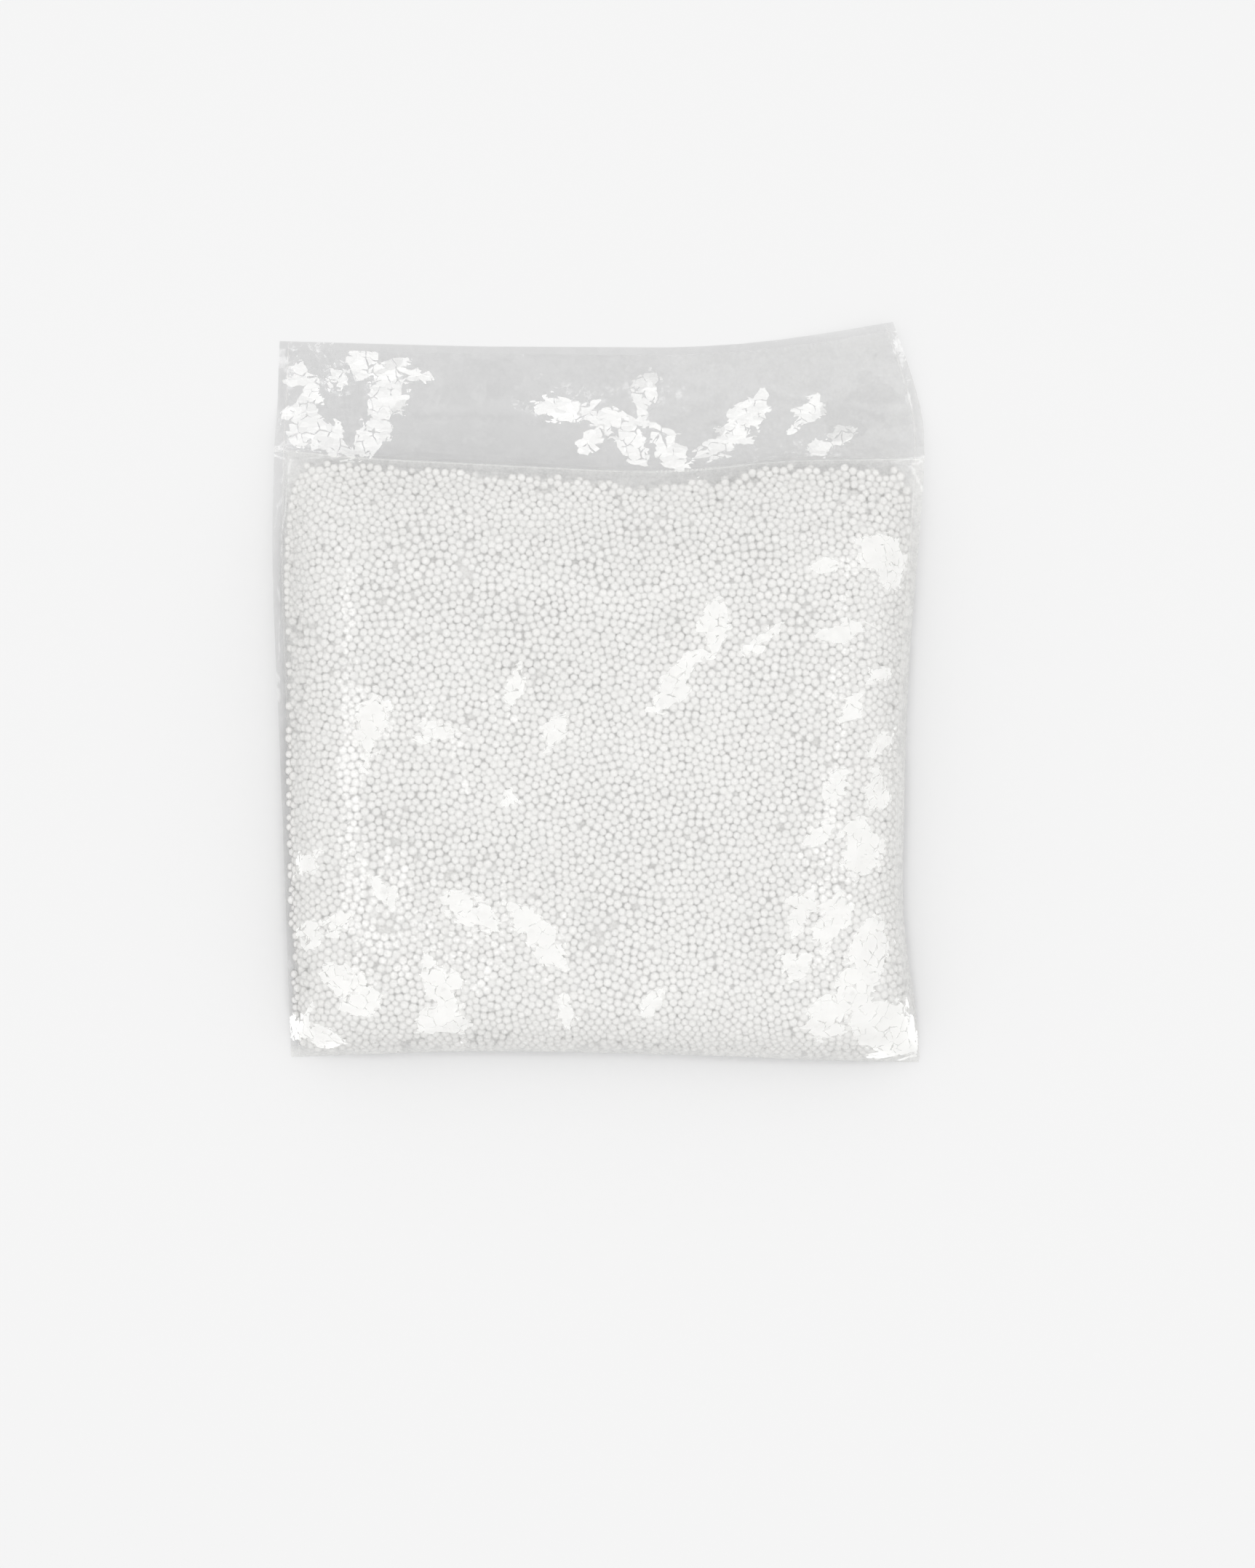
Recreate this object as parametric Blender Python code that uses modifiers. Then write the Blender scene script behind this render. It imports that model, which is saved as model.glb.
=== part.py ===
"""Clear film bag of expanded polystyrene packing beads, lying on its back.

The bag is one length of thin film, folded along the bottom, welded down both sides and left open at
the top. A heat seal runs across it below the open header and shuts the beads in. The beads are one
packed heap, with the beads that stand clear of the heap's upper edge as spheres of their own.

Metres, +Z up. +Y runs from the folded bottom to the open top, and X runs across the bag. The origin
is on the surface that the bag lies on, under the middle of its outline.
"""

import bisect
import math
import random

import bmesh
import bpy
import numpy as np
from mathutils import Vector
from mathutils.bvhtree import BVHTree

# The bag's outline as it lies, seen from above
BAG_WIDTH = 0.250
BAG_LENGTH = 0.285
# How far each edge lies inside that outline: (share of the way along the edge, inset)
LEFT_INSETS = [(0.0, 0.0067), (0.19, 0.0053), (0.45, 0.0025), (0.70, 0.0), (0.83, 0.0008), (1.0, 0.0021)]
RIGHT_INSETS = [
    (0.0, 0.0011), (0.08, 0.0034), (0.17, 0.0073), (0.35, 0.0076), (0.55, 0.0056),
    (0.73, 0.0014), (0.81, 0.0), (0.88, 0.0006), (0.93, 0.0047), (1.0, 0.0118),
]
BOTTOM_INSETS = [(0.0, 0.0021), (0.25, 0.0046), (0.6, 0.0035), (0.9, 0.0008), (1.0, 0.0)]
TOP_INSETS = [(0.0, 0.0067), (0.32, 0.0087), (0.53, 0.0095), (0.74, 0.0078), (0.89, 0.0039), (1.0, 0.0)]

# The film, and the air left between its two walls where they lie together
FILM = 0.00008
LAY_FLAT_GAP = 0.0003
LAY_FLAT_RUN = 0.002

# The header above the seal: its height, how far the front lip of its mouth ends short of the back one,
# and how far the seal line sags
HEADER = 0.0493
LIP_STEP = 0.003
SEAL_SAGS = [(0.0, 0.0), (0.12, 0.0034), (0.32, 0.0059), (0.55, 0.0089), (0.65, 0.0084), (0.77, 0.0046), (1.0, 0.0037)]
SEAL_WIDTH = 0.0018
SEAL_END_GAP = 0.0015

# The filled pouch: its depth, the flat margins beside it, and how far in it takes to reach that depth
FILL_DEPTH = 0.027
LEFT_MARGINS = [(0.0, 0.0022), (0.35, 0.0026), (0.62, 0.0050), (1.0, 0.0072)]
RIGHT_MARGINS = [(0.0, 0.0012), (0.5, 0.0018), (1.0, 0.0042)]
BOTTOM_MARGIN = 0.0016
SIDE_ROUND = 0.028
BOTTOM_ROUND = 0.024
TOP_ROUND = 0.046
SIDE_POWER = 0.5
TOP_POWER = 0.8
# Low swells and hollows on the upper side: (x, y, radius, height)
SWELLS = [
    (0.010, 0.062, 0.040, -0.0030),
    (-0.078, 0.038, 0.036, 0.0010),
    (-0.070, -0.028, 0.034, -0.0015),
    (0.060, 0.022, 0.040, 0.0012),
    (0.020, -0.040, 0.034, -0.0012),
    (0.085, -0.070, 0.035, -0.0014),
]

# How high the seams stand off the surface, and how far in the back wall takes to come down to it
SEAM_RISE = 0.0075
CORNER_DROOP = 0.0055
DROOP_REACH = 0.045
BACK_ROUND = 0.020
HEADER_FALL = 0.020

# Folds that fan out from the seal into the header: (x at the seal, lean, half width, height)
HEADER_FOLDS = [
    (-0.112, 0.20, 0.009, 0.0030),
    (-0.086, -0.35, 0.011, 0.0036),
    (-0.015, 0.30, 0.012, 0.0016),
    (0.006, -0.25, 0.010, 0.0030),
    (0.030, 0.55, 0.010, 0.0034),
    (0.052, 0.60, 0.009, 0.0044),
    (0.075, 0.45, 0.008, 0.0032),
]
FOLD_START = 0.008
FOLD_REACH = 0.034
CORNER_LIFT = 0.005
LIFT_REACH = 0.060

# The beads: one bead, the air round the heap, and the heap's edge
BEAD_DIAMETER = 0.0032
BEAD_SPREAD = 0.0008
BEAD_GAP = 0.00035
HEAP_CLEARANCE = 0.0006
HEAP_SIDE_GAP = 0.0008
HEAP_EDGE_ROUND = 0.0035
HEAP_CORNER = 0.008
# How far below the seal line the heap ends
HEAP_TOP_GAPS = [
    (0.0, 0.0085), (0.08, 0.0052), (0.2, 0.0050), (0.3, 0.0056), (0.36, 0.0066), (0.45, 0.0050),
    (0.56, 0.0078), (0.68, 0.0064), (0.8, 0.0046), (0.88, 0.0062), (1.0, 0.0060),
]
# The heap's surface stands in domes, each as wide as a clump of beads
DOME_PITCH = 0.0070
DOME_DEPTH = 0.0024
LOOSE_BEADS = 29
LOOSE_FROM = 0.05
LOOSE_TO = 0.955

# How finely the curved walls are faceted
ROUND_STEPS = 5
EDGE_STEPS = 2
FILM_PITCH = 0.0165
HEADER_ROWS = 5
BEAD_STEPS = 2
SETTLE_STEPS = 30
FLAT_WITHIN = 1e-8
STEEPEST = 0.25


def curve_through(points):
    """A smooth curve through (share, value) points, as a function of the share of the way along."""
    places = [place for place, _ in points]
    values = [value for _, value in points]
    slopes = [float(slope) for slope in np.gradient(values, places)]

    def value_at(share):
        k = min(max(bisect.bisect_left(places, share) - 1, 0), len(places) - 2)
        run = places[k + 1] - places[k]
        t = min(max((share - places[k]) / run, 0.0), 1.0)
        start = (1 + 2 * t) * (1 - t) ** 2 * values[k] + t * (1 - t) ** 2 * run * slopes[k]
        end = t * t * (3 - 2 * t) * values[k + 1] - t * t * (1 - t) * run * slopes[k + 1]
        return start + end

    return value_at


def smooth_step(t):
    t = min(max(t, 0.0), 1.0)
    return t * t * (3 - 2 * t)


def rounded(distance, run, power=SIDE_POWER):
    """From 0 at an edge to 1 at a run inside it, as a rounded side rises."""
    t = min(max(distance / run, 0.0), 1.0)
    return (1 - (1 - t) ** 2) ** power


# The outline, from the share of the way across (u) or from y

left_inset, right_inset = curve_through(LEFT_INSETS), curve_through(RIGHT_INSETS)
bottom_inset, top_inset = curve_through(BOTTOM_INSETS), curve_through(TOP_INSETS)
seal_sag, heap_top_gap = curve_through(SEAL_SAGS), curve_through(HEAP_TOP_GAPS)
left_margin_at, right_margin_at = curve_through(LEFT_MARGINS), curve_through(RIGHT_MARGINS)


def bottom_edge(u):
    return -BAG_LENGTH / 2 + bottom_inset(u)


def top_edge(u):
    return BAG_LENGTH / 2 - top_inset(u)


def seal_line(u):
    return BAG_LENGTH / 2 - HEADER - seal_sag(u)


def left_edge(y):
    return -BAG_WIDTH / 2 + left_inset(y / BAG_LENGTH + 0.5)


def right_edge(y):
    return BAG_WIDTH / 2 - right_inset(y / BAG_LENGTH + 0.5)


def share_across(x, y):
    left = left_edge(y)
    return min(max((x - left) / (right_edge(y) - left), 0.0), 1.0)


def margins(y):
    """The flat margins left and right of the filled part, at this height."""
    share = min(max((y + BAG_LENGTH / 2) / (BAG_LENGTH - HEADER), 0.0), 1.0)
    return left_margin_at(share), right_margin_at(share)


def edge_distances(x, y):
    """How far a point lies inside the left, right and bottom edges and below the seal."""
    u = share_across(x, y)
    return x - left_edge(y), right_edge(y) - x, y - bottom_edge(u), seal_line(u) - y


# The film's two walls

def fullness(x, y):
    """How full the pouch is, from 0 at its flat margins and its seal to 1."""
    left, right, bottom, top = edge_distances(x, y)
    left_margin, right_margin = margins(y)
    return (
        rounded(left - left_margin, SIDE_ROUND)
        * rounded(right - right_margin, SIDE_ROUND)
        * rounded(bottom - BOTTOM_MARGIN, BOTTOM_ROUND)
        * rounded(top, TOP_ROUND, TOP_POWER)
    )


def swell(x, y):
    return sum(
        height * math.exp(-((x - cx) ** 2 + (y - cy) ** 2) / (2 * (radius / 2) ** 2))
        for cx, cy, radius, height in SWELLS
    )


def seam_height(x, y):
    """How high the back wall stands off the surface: at its seams and its seal, less at its corners."""
    left, right, bottom, top = edge_distances(x, y)
    flat = rounded(left, BACK_ROUND) * rounded(right, BACK_ROUND) * rounded(bottom, BACK_ROUND)
    if top > 0:
        flat *= rounded(top, BACK_ROUND)
        fall = 1.0
    else:
        flat = 0.0
        fall = 1 - smooth_step(-top / HEADER_FALL)
    corner = min(math.hypot(left, bottom), math.hypot(right, bottom))
    droop = CORNER_DROOP * (1 - smooth_step(corner / DROOP_REACH))
    return max(SEAM_RISE - droop, 0.0) * (1 - flat) * fall


def header_fold(x, y):
    """The folds that fan out above the seal, and the header's lifted corner."""
    _, right, _, top = edge_distances(x, y)
    above = -top - SEAL_WIDTH
    if above <= 0:
        return 0.0
    start = smooth_step(above / FOLD_START)
    ridges = sum(
        height * math.exp(-(((x - at - lean * above) / width) ** 2)) for at, lean, width, height in HEADER_FOLDS
    )
    to_corner = math.hypot(right, top_edge(share_across(x, y)) - y)
    lift = CORNER_LIFT * (1 - smooth_step(to_corner / LIFT_REACH))
    return start * (ridges * (1 - smooth_step(above / FOLD_REACH)) + lift)


def back_wall(x, y):
    """The inner face of the back wall."""
    return FILM + seam_height(x, y) + header_fold(x, y)


def depth(x, y):
    """The room between the two walls."""
    left, right, bottom, _ = edge_distances(x, y)
    apart = LAY_FLAT_GAP * min(1.0, max(min(left, right, bottom), 0.0) / LAY_FLAT_RUN)
    full = fullness(x, y)
    return apart + full * (FILL_DEPTH + swell(x, y))


def front_wall(x, y):
    """The inner face of the front wall."""
    return back_wall(x, y) + depth(x, y)


# Grids

def round_places(run, steps):
    """Distances from an edge at which a rounded side is faceted evenly."""
    return [run * (1 - math.cos(math.pi / 2 * k / steps)) for k in range(1, steps + 1)]


def film_columns(y):
    """The x of each column of the film's grid at this height."""
    left, right = left_edge(y), right_edge(y)
    left_margin, right_margin = margins(y)
    start = [left] + [left + left_margin * k / 2 for k in (1, 2)]
    start += [left + left_margin + d for d in round_places(SIDE_ROUND, ROUND_STEPS)]
    end = [right] + [right - right_margin * k / 2 for k in (1, 2)]
    end += [right - right_margin - d for d in round_places(SIDE_ROUND, ROUND_STEPS)]
    between = max(1, round((BAG_WIDTH - 2 * SIDE_ROUND) / FILM_PITCH))
    middle = [start[-1] + (end[-1] - start[-1]) * k / between for k in range(1, between)]
    return start + middle + end[::-1]


def film_rows(u):
    """The y of each row of the film's grid at this share of the way across, and the seal's row."""
    bottom, seal, top = bottom_edge(u), seal_line(u), top_edge(u)
    start = [bottom, bottom + BOTTOM_MARGIN]
    start += [bottom + BOTTOM_MARGIN + d for d in round_places(BOTTOM_ROUND, ROUND_STEPS)]
    end = [seal] + [seal - d for d in round_places(TOP_ROUND, ROUND_STEPS)]
    pouch = BAG_LENGTH - HEADER - BOTTOM_ROUND - TOP_ROUND
    between = max(1, round(pouch / FILM_PITCH))
    middle = [start[-1] + (end[-1] - start[-1]) * k / between for k in range(1, between)]
    rows = start + middle + end[::-1]
    seal_row = len(rows) - 1
    first, lip = seal + SEAL_WIDTH, top - LIP_STEP
    rows += [first + (lip - first) * k / HEADER_ROWS for k in range(HEADER_ROWS + 1)]
    return rows + [top], seal_row


def heap_top(u):
    return seal_line(u) - heap_top_gap(u)


def corner_cut(y, u):
    """How much further in the heap's side lies at this height, where its corners are rounded."""
    to_end = min(y - bottom_edge(u) - BOTTOM_MARGIN - HEAP_SIDE_GAP, heap_top(u) - y)
    short = HEAP_CORNER - min(max(to_end, 0.0), HEAP_CORNER)
    return HEAP_CORNER - math.sqrt(HEAP_CORNER**2 - short**2)


def heap_sides(y):
    """The x of the heap's left and right side at this height."""
    left_margin, right_margin = margins(y)
    left = left_edge(y) + left_margin + HEAP_SIDE_GAP + corner_cut(y, 0.0)
    right = right_edge(y) - right_margin - HEAP_SIDE_GAP - corner_cut(y, 1.0)
    return left, right


def heap_columns(y):
    """The x of each column of the heap's grid at this height."""
    left_start, right_start = heap_sides(y)
    inward = [0.0] + round_places(HEAP_EDGE_ROUND, EDGE_STEPS)
    inward += [d for d in round_places(SIDE_ROUND, ROUND_STEPS) if d > HEAP_EDGE_ROUND + DOME_PITCH / 4]
    between = max(1, round((BAG_WIDTH - 2 * SIDE_ROUND) / DOME_PITCH))
    start, end = [left_start + d for d in inward], [right_start - d for d in inward]
    middle = [start[-1] + (end[-1] - start[-1]) * k / between for k in range(1, between)]
    return start + middle + end[::-1]


def heap_rows(u):
    """The y of each row of the heap's grid at this share of the way across."""
    bottom, top = bottom_edge(u) + BOTTOM_MARGIN + HEAP_SIDE_GAP, heap_top(u)
    near_edge = [0.0] + round_places(HEAP_EDGE_ROUND, EDGE_STEPS)
    start = near_edge + [d for d in round_places(BOTTOM_ROUND, ROUND_STEPS) if d > HEAP_EDGE_ROUND + DOME_PITCH / 4]
    end = near_edge
    pouch = BAG_LENGTH - HEADER - BOTTOM_ROUND - HEAP_EDGE_ROUND
    between = max(1, round(pouch / DOME_PITCH))
    low, high = bottom + start[-1], top - end[-1]
    middle = [low + (high - low) * k / between for k in range(1, between)]
    return [bottom + d for d in start] + middle + [top - d for d in end[::-1]]


def placed_sheet(name, columns, rows, height, flipped):
    """A grid sheet. Its points take their places from columns(y) and rows(u), and their height from height(x, y, rim, odd)."""
    across, along = len(columns(0.0)) - 1, len(rows(0.5)) - 1
    bpy.ops.mesh.primitive_grid_add(x_subdivisions=across, y_subdivisions=along, size=1)
    sheet = bpy.context.object
    sheet.name = name
    bm = bmesh.new()
    bm.from_mesh(sheet.data)
    for vert in bm.verts:
        i, j = round((vert.co.x + 0.5) * across), round((vert.co.y + 0.5) * along)
        y = rows(i / across)[j]
        for _ in range(3):
            x = columns(y)[i]
            y = rows(share_across(x, y))[j]
        vert.co = (x, y, height(x, y, vert.is_boundary, (i + j) % 2))
    if flipped:
        bmesh.ops.reverse_faces(bm, faces=bm.faces)
    bm.to_mesh(sheet.data)
    bm.free()
    return sheet


def joined(front, back, name):
    """One object from a front and a back sheet, merged where their edges meet."""
    bpy.ops.object.select_all(action="DESELECT")
    front.select_set(True)
    back.select_set(True)
    bpy.context.view_layer.objects.active = front
    bpy.ops.object.join()
    front.name = name
    front.data.name = name
    bm = bmesh.new()
    bm.from_mesh(front.data)
    bmesh.ops.remove_doubles(bm, verts=bm.verts, dist=1e-6)
    bm.to_mesh(front.data)
    bm.free()
    return front


def flat_back_merged(body):
    """Merges the faces of the back that lie in one plane, all but the ring of them beside the curved ones."""
    bm = bmesh.new()
    bm.from_mesh(body.data)
    lowest = min(vert.co.z for vert in bm.verts)
    down = {face for face in bm.faces if all(vert.co.z < lowest + FLAT_WITHIN for vert in face.verts)}
    inner = {vert for vert in bm.verts if all(face in down for face in vert.link_faces)}
    merged = [face for face in down if all(vert in inner for vert in face.verts)]
    bmesh.ops.dissolve_faces(bm, faces=merged, use_verts=True)
    bm.to_mesh(body.data)
    bm.free()


# Materials, and the collections

def material(name, colour, roughness, alpha=1.0):
    made = bpy.data.materials.new(name)
    made.use_nodes = True
    shader = made.node_tree.nodes["Principled BSDF"]
    shader.inputs["Base Color"].default_value = (*colour, 1.0)
    shader.inputs["Roughness"].default_value = roughness
    shader.inputs["Metallic"].default_value = 0.0
    shader.inputs["Alpha"].default_value = alpha
    return made


def collect(obj, collection):
    for old in list(obj.users_collection):
        old.objects.unlink(obj)
    collection.objects.link(obj)


# The pieces

def seal_bar(rows_of):
    """The weld across the pouch, which reaches half way into both walls and stops short of the side welds."""
    _, seal_row = rows_of(0.5)
    half_walls = (LAY_FLAT_GAP + FILM) / 2
    verts, across = [], len(film_columns(0.0)) - 1
    for i in range(1, across):
        for j in (seal_row, seal_row + 1):
            y = rows_of(i / across)[0][j]
            for _ in range(3):
                x = film_columns(y)[i]
                y = rows_of(share_across(x, y))[0][j]
            middle = back_wall(x, y) + LAY_FLAT_GAP / 2
            verts.append([(x, y, middle - half_walls), (x, y, middle + half_walls)])
    bm = bmesh.new()
    rings = []
    for k in range(0, len(verts), 2):
        (low_near, high_near), (low_far, high_far) = verts[k], verts[k + 1]
        rings.append([bm.verts.new(p) for p in (low_near, low_far, high_far, high_near)])
    for one, two in zip(rings, rings[1:]):
        for k in range(4):
            bm.faces.new((one[k], one[(k + 1) % 4], two[(k + 1) % 4], two[k]))
    bm.faces.new(rings[0][::-1])
    bm.faces.new(rings[-1])
    bmesh.ops.recalc_face_normals(bm, faces=bm.faces)
    mesh = bpy.data.meshes.new("seal_bar")
    bm.to_mesh(mesh)
    bm.free()
    return bpy.data.objects.new("seal_bar", mesh)


def bag_film(parts, helpers, look):
    def back_rows(u):
        return film_rows(u)[0]

    def front_rows(u):
        return film_rows(u)[0][:-1]

    front = placed_sheet("front", film_columns, front_rows, lambda x, y, rim, odd: front_wall(x, y), False)
    back = placed_sheet("back", film_columns, back_rows, lambda x, y, rim, odd: back_wall(x, y), True)
    bag = joined(front, back, "bag_film")
    flat_back_merged(bag)
    collect(bag, parts)
    bag.data.materials.append(look)
    wall = bag.modifiers.new("film_wall", "SOLIDIFY")
    wall.thickness = FILM
    wall.offset = 1.0
    wall.use_even_offset = False
    bar = seal_bar(film_rows)
    helpers.objects.link(bar)
    bar.hide_render = True
    bar.display_type = "WIRE"
    weld = bag.modifiers.new("heat_seal", "BOOLEAN")
    weld.operation = "UNION"
    weld.object = bar
    return bag


def surface_of(body):
    """The body's own faces, without its modifiers, for measuring distances to it."""
    bm = bmesh.new()
    bm.from_mesh(body.data)
    surface = BVHTree.FromBMesh(bm, epsilon=1e-6)
    bm.free()
    return surface


def wall_clearance(surface, middle, up):
    """The height that clears the film's wall above or below this point."""
    hit, normal, _, _ = surface.ray_cast(middle, Vector((0, 0, up)))
    return hit.z - up * HEAP_CLEARANCE / max(abs(normal.z), STEEPEST)


def heap_height(surface, x, y, at_rim, odd, front):
    """The heap's upper or lower surface: the room between the walls, rounded off at the heap's edge."""
    u = share_across(x, y)
    left, right = heap_sides(y)
    start = bottom_edge(u) + BOTTOM_MARGIN + HEAP_SIDE_GAP
    inside = min(x - left, right - x, y - start, heap_top(u) - y)
    edge = 0.0 if at_rim else rounded(inside, HEAP_EDGE_ROUND)
    middle = Vector((x, y, back_wall(x, y) + depth(x, y) / 2))
    bottom, top = wall_clearance(surface, middle, -1), wall_clearance(surface, middle, 1)
    rim = min((bottom + top) / 2, bottom + BEAD_DIAMETER)
    if not front:
        return rim - (rim - bottom) * edge
    valley = DOME_DEPTH * odd * smooth_step(inside / (2 * DOME_PITCH))
    return rim + max(top - rim - valley, 0.0) * edge


def bead_heap(bag, parts, look):
    walls = surface_of(bag)

    def upper(x, y, rim, odd):
        return heap_height(walls, x, y, rim, odd, True)

    def lower(x, y, rim, odd):
        return heap_height(walls, x, y, rim, odd, False)

    front = placed_sheet("front", heap_columns, heap_rows, upper, False)
    back = placed_sheet("back", heap_columns, heap_rows, lower, True)
    heap = joined(front, back, "bead_heap")
    flat_back_merged(heap)
    collect(heap, parts)
    heap.data.materials.append(look)
    return heap


def settled(place, reach, surfaces):
    """The place, moved until it is this far from each of the surfaces."""
    for _ in range(SETTLE_STEPS):
        for surface in surfaces:
            nearest, _, _, distance = surface.find_nearest(place)
            if distance < reach:
                place = place + (place - nearest).normalized() * (reach - distance)
    return place


def loose_beads(bag, heap, parts, look):
    """The beads that stand clear along the heap's upper edge, each a gap away from the heap and the film."""
    chance = random.Random(3)
    surfaces = [surface_of(bag), surface_of(heap)]
    for k in range(LOOSE_BEADS):
        u = LOOSE_FROM + (LOOSE_TO - LOOSE_FROM) * k / (LOOSE_BEADS - 1)
        radius = (BEAD_DIAMETER + BEAD_SPREAD * chance.uniform(-0.5, 0.5)) / 2
        y = heap_top(u)
        x = left_edge(y) + (right_edge(y) - left_edge(y)) * u
        step = 0.002
        slope = (heap_top(share_across(x + step, y)) - heap_top(share_across(x - step, y))) / (2 * step)
        length = math.hypot(1, slope)
        off = radius + BEAD_GAP
        x, y = x - slope / length * off, y + off / length
        place = settled(Vector((x, y, back_wall(x, y) + off)), off, surfaces)
        bpy.ops.mesh.primitive_ico_sphere_add(subdivisions=BEAD_STEPS, radius=radius, location=place)
        bead = bpy.context.object
        bead.name = f"bead_{k + 1:02d}"
        bead.data.name = bead.name
        bead.data.shade_smooth()
        collect(bead, parts)
        bead.data.materials.append(look)


def main():
    for old in list(bpy.data.objects):
        bpy.data.objects.remove(old)
    parts = bpy.data.collections.new("bag_of_packing_beads")
    helpers = bpy.data.collections.new("helpers")
    for collection in (parts, helpers):
        bpy.context.scene.collection.children.link(collection)
    clear_film = material("clear_film", (0.86, 0.86, 0.88), 0.12, alpha=0.3)
    foam_bead = material("foam_bead", (0.93, 0.93, 0.92), 0.6)
    bag = bag_film(parts, helpers, clear_film)
    heap = bead_heap(bag, parts, foam_bead)
    loose_beads(bag, heap, parts, foam_bead)


main()
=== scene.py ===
"""A clear film bag of expanded polystyrene packing beads, lying on its back on a pale table.

It is seen from straight above, as in the photograph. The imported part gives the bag's outline, its depth
and the heap's edge. The film is rebuilt over them as two fine creased walls, and the heap as single beads.
"""

import math

import bpy
import numpy as np
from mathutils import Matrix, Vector, geometry
from mathutils.bvhtree import BVHTree
from mathutils.kdtree import KDTree


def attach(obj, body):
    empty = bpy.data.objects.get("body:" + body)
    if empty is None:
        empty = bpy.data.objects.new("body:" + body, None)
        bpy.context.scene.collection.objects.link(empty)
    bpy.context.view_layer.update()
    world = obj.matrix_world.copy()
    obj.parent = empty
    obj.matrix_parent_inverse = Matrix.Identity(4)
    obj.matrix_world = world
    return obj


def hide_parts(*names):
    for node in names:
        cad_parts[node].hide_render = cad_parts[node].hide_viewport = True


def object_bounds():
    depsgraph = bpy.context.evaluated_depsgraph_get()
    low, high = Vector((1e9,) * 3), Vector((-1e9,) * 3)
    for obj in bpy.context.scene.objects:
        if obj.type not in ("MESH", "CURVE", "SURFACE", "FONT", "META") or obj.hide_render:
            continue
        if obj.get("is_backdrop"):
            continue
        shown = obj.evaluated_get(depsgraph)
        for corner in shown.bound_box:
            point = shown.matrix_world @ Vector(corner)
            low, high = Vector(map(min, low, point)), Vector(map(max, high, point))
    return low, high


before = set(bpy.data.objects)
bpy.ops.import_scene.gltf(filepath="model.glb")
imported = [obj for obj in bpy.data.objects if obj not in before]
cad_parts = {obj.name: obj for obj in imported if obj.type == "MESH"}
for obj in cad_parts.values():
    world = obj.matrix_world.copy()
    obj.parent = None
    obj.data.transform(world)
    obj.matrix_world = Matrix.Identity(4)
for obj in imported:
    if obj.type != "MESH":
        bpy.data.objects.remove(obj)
cad_low, cad_high = (Vector(corner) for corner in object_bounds())

# The studio
# A matt white table top in a white room, under four soft boxes that hang to the left and right of the bag.
# The bag's creases shine where they lean towards one of them.

CAMERA_HEIGHT = 1.2
# How much of the table the picture takes in from top to bottom
FRAME_HEIGHT = 0.6055
SENSOR_HEIGHT = 0.036
# How far the middle of the photograph lies from the middle of the bag
FRAME_CENTRE = (0.0112, -0.0352)
TABLE_SIZE = 4.0
# The table top lies just under the bag, so that the two never share a face
TABLE_CLEARANCE = 0.0002
TABLE_COLOUR = "#ebebeb"
BACKGROUND_COLOUR = "#f4f4f4"
# How light the walls are, how much lighter the ceiling is, and how close to its middle that light gathers
WALL_LEVEL = 0.80
CEILING_LEVEL = 0.16
CEILING_GATHER = 2.0
# The ceiling that shows in the film is uneven: how many patches it has, and how light they are
CEILING_PATCHES = 5.0
CEILING_SHADES = (0.35, 1.75)
# Nearly all of a noise texture's values lie between these
NOISE_SPAN = (0.3, 0.7)
# White foam passes light on from bead to bead many times
FOAM_BOUNCES = 10
# The height of the film that mirrors the soft boxes, of the boxes themselves, and how bright those are
FILM_HEIGHT = 0.022
BOX_HEIGHT = 2.1
BOX_RADIANCE = 3.4
# Each soft box's size, and where a level mirror on the bag would show its middle to the camera
SOFT_BOXES = {
    "soft_box_left_low": (0.56, (-0.235, -0.080)),
    "soft_box_right_low": (0.62, (0.205, -0.205)),
    "soft_box_left_high": (0.50, (-0.290, 0.200)),
    "soft_box_right_high": (0.50, (0.310, 0.190)),
}


def linear(hex_colour):
    """A colour written in sRGB hex, as the shaders take it."""
    parts = [int(hex_colour[k : k + 2], 16) / 255 for k in (1, 3, 5)]
    return (*((c / 12.92 if c <= 0.04045 else ((c + 0.055) / 1.055) ** 2.4) for c in parts), 1.0)


def add_node(tree, kind, inputs=(), **settings):
    """One node with its settings. Each input gets a value, or another node's output."""
    node = tree.nodes.new(kind)
    for name, value in settings.items():
        setattr(node, name, value)
    for name, value in dict(inputs).items():
        if isinstance(value, bpy.types.NodeSocket):
            tree.links.new(value, node.inputs[name])
        else:
            node.inputs[name].default_value = value
    return node


def math_node(tree, operation, *values):
    """One step of arithmetic."""
    return add_node(tree, "ShaderNodeMath", dict(enumerate(values)), operation=operation).outputs[0]


def vector_node(tree, operation, *values, output=0):
    """One step of arithmetic on vectors."""
    node = add_node(tree, "ShaderNodeVectorMath", dict(enumerate(values)), operation=operation)
    return node.outputs[output]


def span_node(tree, value, taken, given):
    """A value that goes evenly from the given pair's first to its second while it crosses the taken pair."""
    ends = {0: value, 1: taken[0], 2: taken[1], 3: given[0], 4: given[1]}
    return add_node(tree, "ShaderNodeMapRange", ends).outputs[0]


def mixed_node(tree, share, first, second):
    """Two shaders mixed."""
    return add_node(tree, "ShaderNodeMixShader", {0: share, 1: first, 2: second}).outputs[0]


def new_material(name):
    """An empty material, its node tree, and its output node."""
    made = bpy.data.materials.new(name)
    made.use_nodes = True
    made.node_tree.nodes.clear()
    return made, made.node_tree, add_node(made.node_tree, "ShaderNodeOutputMaterial")


scene = bpy.context.scene
scene.view_settings.view_transform = "Standard"
scene.cycles.diffuse_bounces = FOAM_BOUNCES

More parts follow.
